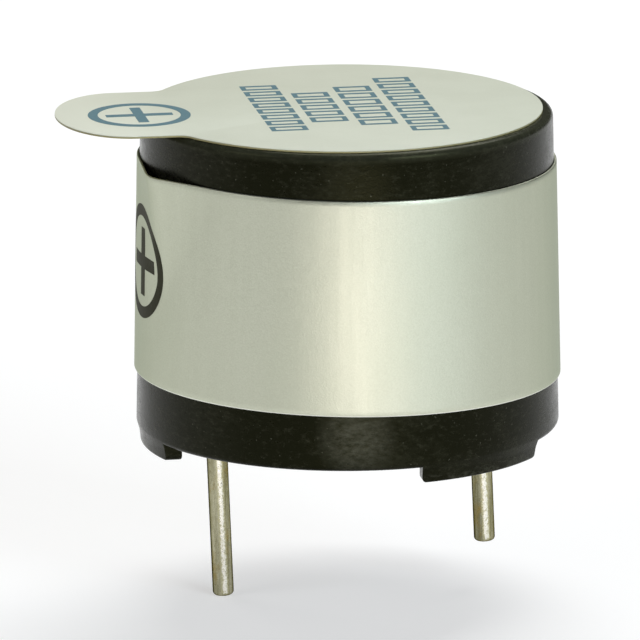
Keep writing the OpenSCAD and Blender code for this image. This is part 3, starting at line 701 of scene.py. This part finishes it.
case_look().on(case)
foil_look().on(label)
seal_look().on(seal)
print_look("print_olive", (0.032, 0.033, 0.011), (0.09, 0.09, 0.05)).on(label_mark)
print_look("print_blue", (0.125, 0.23, 0.262), (0.28, 0.36, 0.36)).on(seal_mark)
pin_look().on(*pins)
copper = metal_look("enamelled_copper", (0.55, 0.2, 0.07), 0.3)
iron = metal_look("soft_iron", (0.45, 0.45, 0.44), 0.35)
tin = metal_look("tinned_metal", (0.65, 0.64, 0.6), 0.3)
LOOKS = {
    "coil_leads": copper, "armature": iron, "yoke_plate": iron, "pole_core": iron,
    "transistor_leads": tin, "resistor_caps": tin,
    "diaphragm": metal_look("spring_steel", (0.6, 0.6, 0.58), 0.28, 6.0, (0.2, 2, 1)),
    "board_tracks": metal_look("track_copper", (0.6, 0.3, 0.12), 0.35),
    "solder_joints": metal_look("solder", (0.6, 0.6, 0.58), 0.22, 3.0, (1, 1, 1), 0.01),
    "support_ring": plain_look("ring_plastic", (0.72, 0.7, 0.6), 0.45),
    "ring_magnet": plain_look("ferrite", (0.05, 0.05, 0.055), 0.7, 14.0, 0.01),
    "coil_bobbin": plain_look("bobbin_plastic", (0.7, 0.64, 0.42), 0.4),
    "circuit_board": plain_look("board_laminate", (0.06, 0.2, 0.07), 0.35, 6.0),
    "drive_transistor": plain_look("chip_resin", (0.02, 0.02, 0.02), 0.6, 20.0, 0.006),
    "chip_resistor": plain_look("resistor_ceramic", (0.03, 0.03, 0.035), 0.3),
    "potting": plain_look("potting_resin", (0.012, 0.012, 0.012), 0.25, 1.2, 0.02),
}
for node, look in LOOKS.items():
    look.on(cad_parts[node])
copper.on(winding)


# Camera, as fitted to the photograph, floor and light
VIEW_TURN = -9.5
EYE_DISTANCE, EYE_HEIGHT, EYE_ELEVATION = 335.2, 5.0, 0.2324
EYE_YAW, EYE_PITCH, EYE_ROLL = 0.0023, -0.0047, 0.0032
FOCAL_PIXELS, IMAGE_PIXELS, SENSOR = 11832.0, 640, 36.0
FLOOR_Z, FLOOR_HALF, FLOOR_COLOR, FLOOR_GLOW = -4.51, 3000.0, (0.53, 0.53, 0.525), 0.52
LAMP_AIM_Z, WORLD_STRENGTH = 5.0, 0.04


def turned(direction):
    """A direction or place of the photograph's view, turned into the part's frame."""
    return Matrix.Rotation(math.radians(VIEW_TURN), 3, "Z") @ Vector(direction)


def make_camera():
    """The camera: it looks along the view's Y, down by its elevation, with three small turns on top."""
    data = bpy.data.cameras.new("camera")
    data.sensor_width = SENSOR
    data.lens = FOCAL_PIXELS * SENSOR / IMAGE_PIXELS
    data.clip_start, data.clip_end = 0.01, 20
    camera = bpy.data.objects.new("camera", data)
    e = EYE_ELEVATION
    place = Vector((0, -EYE_DISTANCE * math.cos(e), EYE_HEIGHT + EYE_DISTANCE * math.sin(e))) * MM
    ahead, right = Vector((0, math.cos(e), -math.sin(e))), Vector((1, 0, 0))
    up = right.cross(ahead)
    for angle, axis in ((EYE_YAW, "up"), (EYE_PITCH, "right"), (EYE_ROLL, "ahead")):
        about = {"up": up, "right": right, "ahead": ahead}[axis]
        turn = Matrix.Rotation(angle, 3, about)
        ahead, right, up = turn @ ahead, turn @ right, turn @ up
    ahead, right, up, place = (turned(k) for k in (ahead, right, up, place))
    camera.matrix_world = Matrix((
        (right.x, up.x, -ahead.x, place.x), (right.y, up.y, -ahead.y, place.y),
        (right.z, up.z, -ahead.z, place.z), (0, 0, 0, 1)))
    bpy.context.scene.collection.objects.link(camera)
    bpy.context.scene.camera = camera


def softbox(name, azimuth, elevation, distance, width, height, power, color=(1, 1, 1)):
    """An area lamp that faces the part's middle; azimuth 0 is the camera's side and 90 the right.

    Distance, width and height are in metres and the power is in watts.
    """
    data = bpy.data.lights.new(name, "AREA")
    data.shape = "RECTANGLE"
    data.size, data.size_y = width, height
    data.energy, data.color = power, color
    lamp = bpy.data.objects.new(name, data)
    a, e = math.radians(azimuth), math.radians(elevation)
    back = turned((math.sin(a) * math.cos(e), -math.cos(a) * math.cos(e), math.sin(e)))
    lamp.location = back * distance + Vector((0, 0, LAMP_AIM_Z * MM))
    lamp.rotation_mode = "QUATERNION"
    lamp.rotation_quaternion = (-back).to_track_quat("-Z", "Y")
    lamp.visible_camera = False
    bpy.context.scene.collection.objects.link(lamp)


def make_floor():
    """A pale floor that camera, glossy and transmission rays see as white, apart from its shadow."""
    half = FLOOR_HALF * MM
    mesh = bpy.data.meshes.new("floor")
    mesh.from_pydata([(-half, -half, 0), (half, -half, 0), (half, half, 0), (-half, half, 0)], [],
                     [(0, 1, 2, 3)])
    floor = bpy.data.objects.new("floor", mesh)
    floor.location.z = FLOOR_Z * MM
    bpy.context.scene.collection.objects.link(floor)
    material = bpy.data.materials.new("floor")
    material.use_nodes = True
    tree = material.node_tree
    tree.nodes.clear()
    out = tree.nodes.new("ShaderNodeOutputMaterial")
    diffuse = tree.nodes.new("ShaderNodeBsdfDiffuse")
    diffuse.inputs["Color"].default_value = (*FLOOR_COLOR, 1)
    glow = tree.nodes.new("ShaderNodeEmission")
    seen = tree.nodes.new("ShaderNodeLightPath")
    shown = seen.outputs["Is Camera Ray"]
    for ray in ("Is Glossy Ray", "Is Transmission Ray"):
        either = tree.nodes.new("ShaderNodeMath")
        either.operation = "MAXIMUM"
        tree.links.new(shown, either.inputs[0])
        tree.links.new(seen.outputs[ray], either.inputs[1])
        shown = either.outputs[0]
    strength = tree.nodes.new("ShaderNodeMath")
    strength.operation = "MULTIPLY"
    strength.inputs[1].default_value = FLOOR_GLOW
    add = tree.nodes.new("ShaderNodeAddShader")
    tree.links.new(shown, strength.inputs[0])
    tree.links.new(strength.outputs[0], glow.inputs["Strength"])
    tree.links.new(diffuse.outputs[0], add.inputs[0])
    tree.links.new(glow.outputs[0], add.inputs[1])
    tree.links.new(add.outputs[0], out.inputs["Surface"])
    mesh.materials.append(material)


def make_world():
    """A faint even light from all round."""
    world = bpy.data.worlds.new("world")
    bpy.context.scene.world = world
    world.use_nodes = True
    background = world.node_tree.nodes["Background"]
    background.inputs["Color"].default_value = (1, 1, 1, 1)
    background.inputs["Strength"].default_value = WORLD_STRENGTH


make_camera()
make_floor()
make_world()
softbox("key", 165, 62, 0.35, 0.25, 0.25, 1.0)
softbox("right", 42, 22, 0.4, 0.2, 0.2, 0.75, (0.89, 1, 1.1))
softbox("left", -60, 25, 0.4, 0.2, 0.2, 0.22)
softbox("rim", -140, 15, 0.4, 0.2, 0.14, 0.25)
softbox("front", 5.4, -9.1, 0.030, 0.015, 0.0085, 0.00093, (1.13, 1, 0.98))
bpy.context.scene.view_settings.view_transform = "Standard"
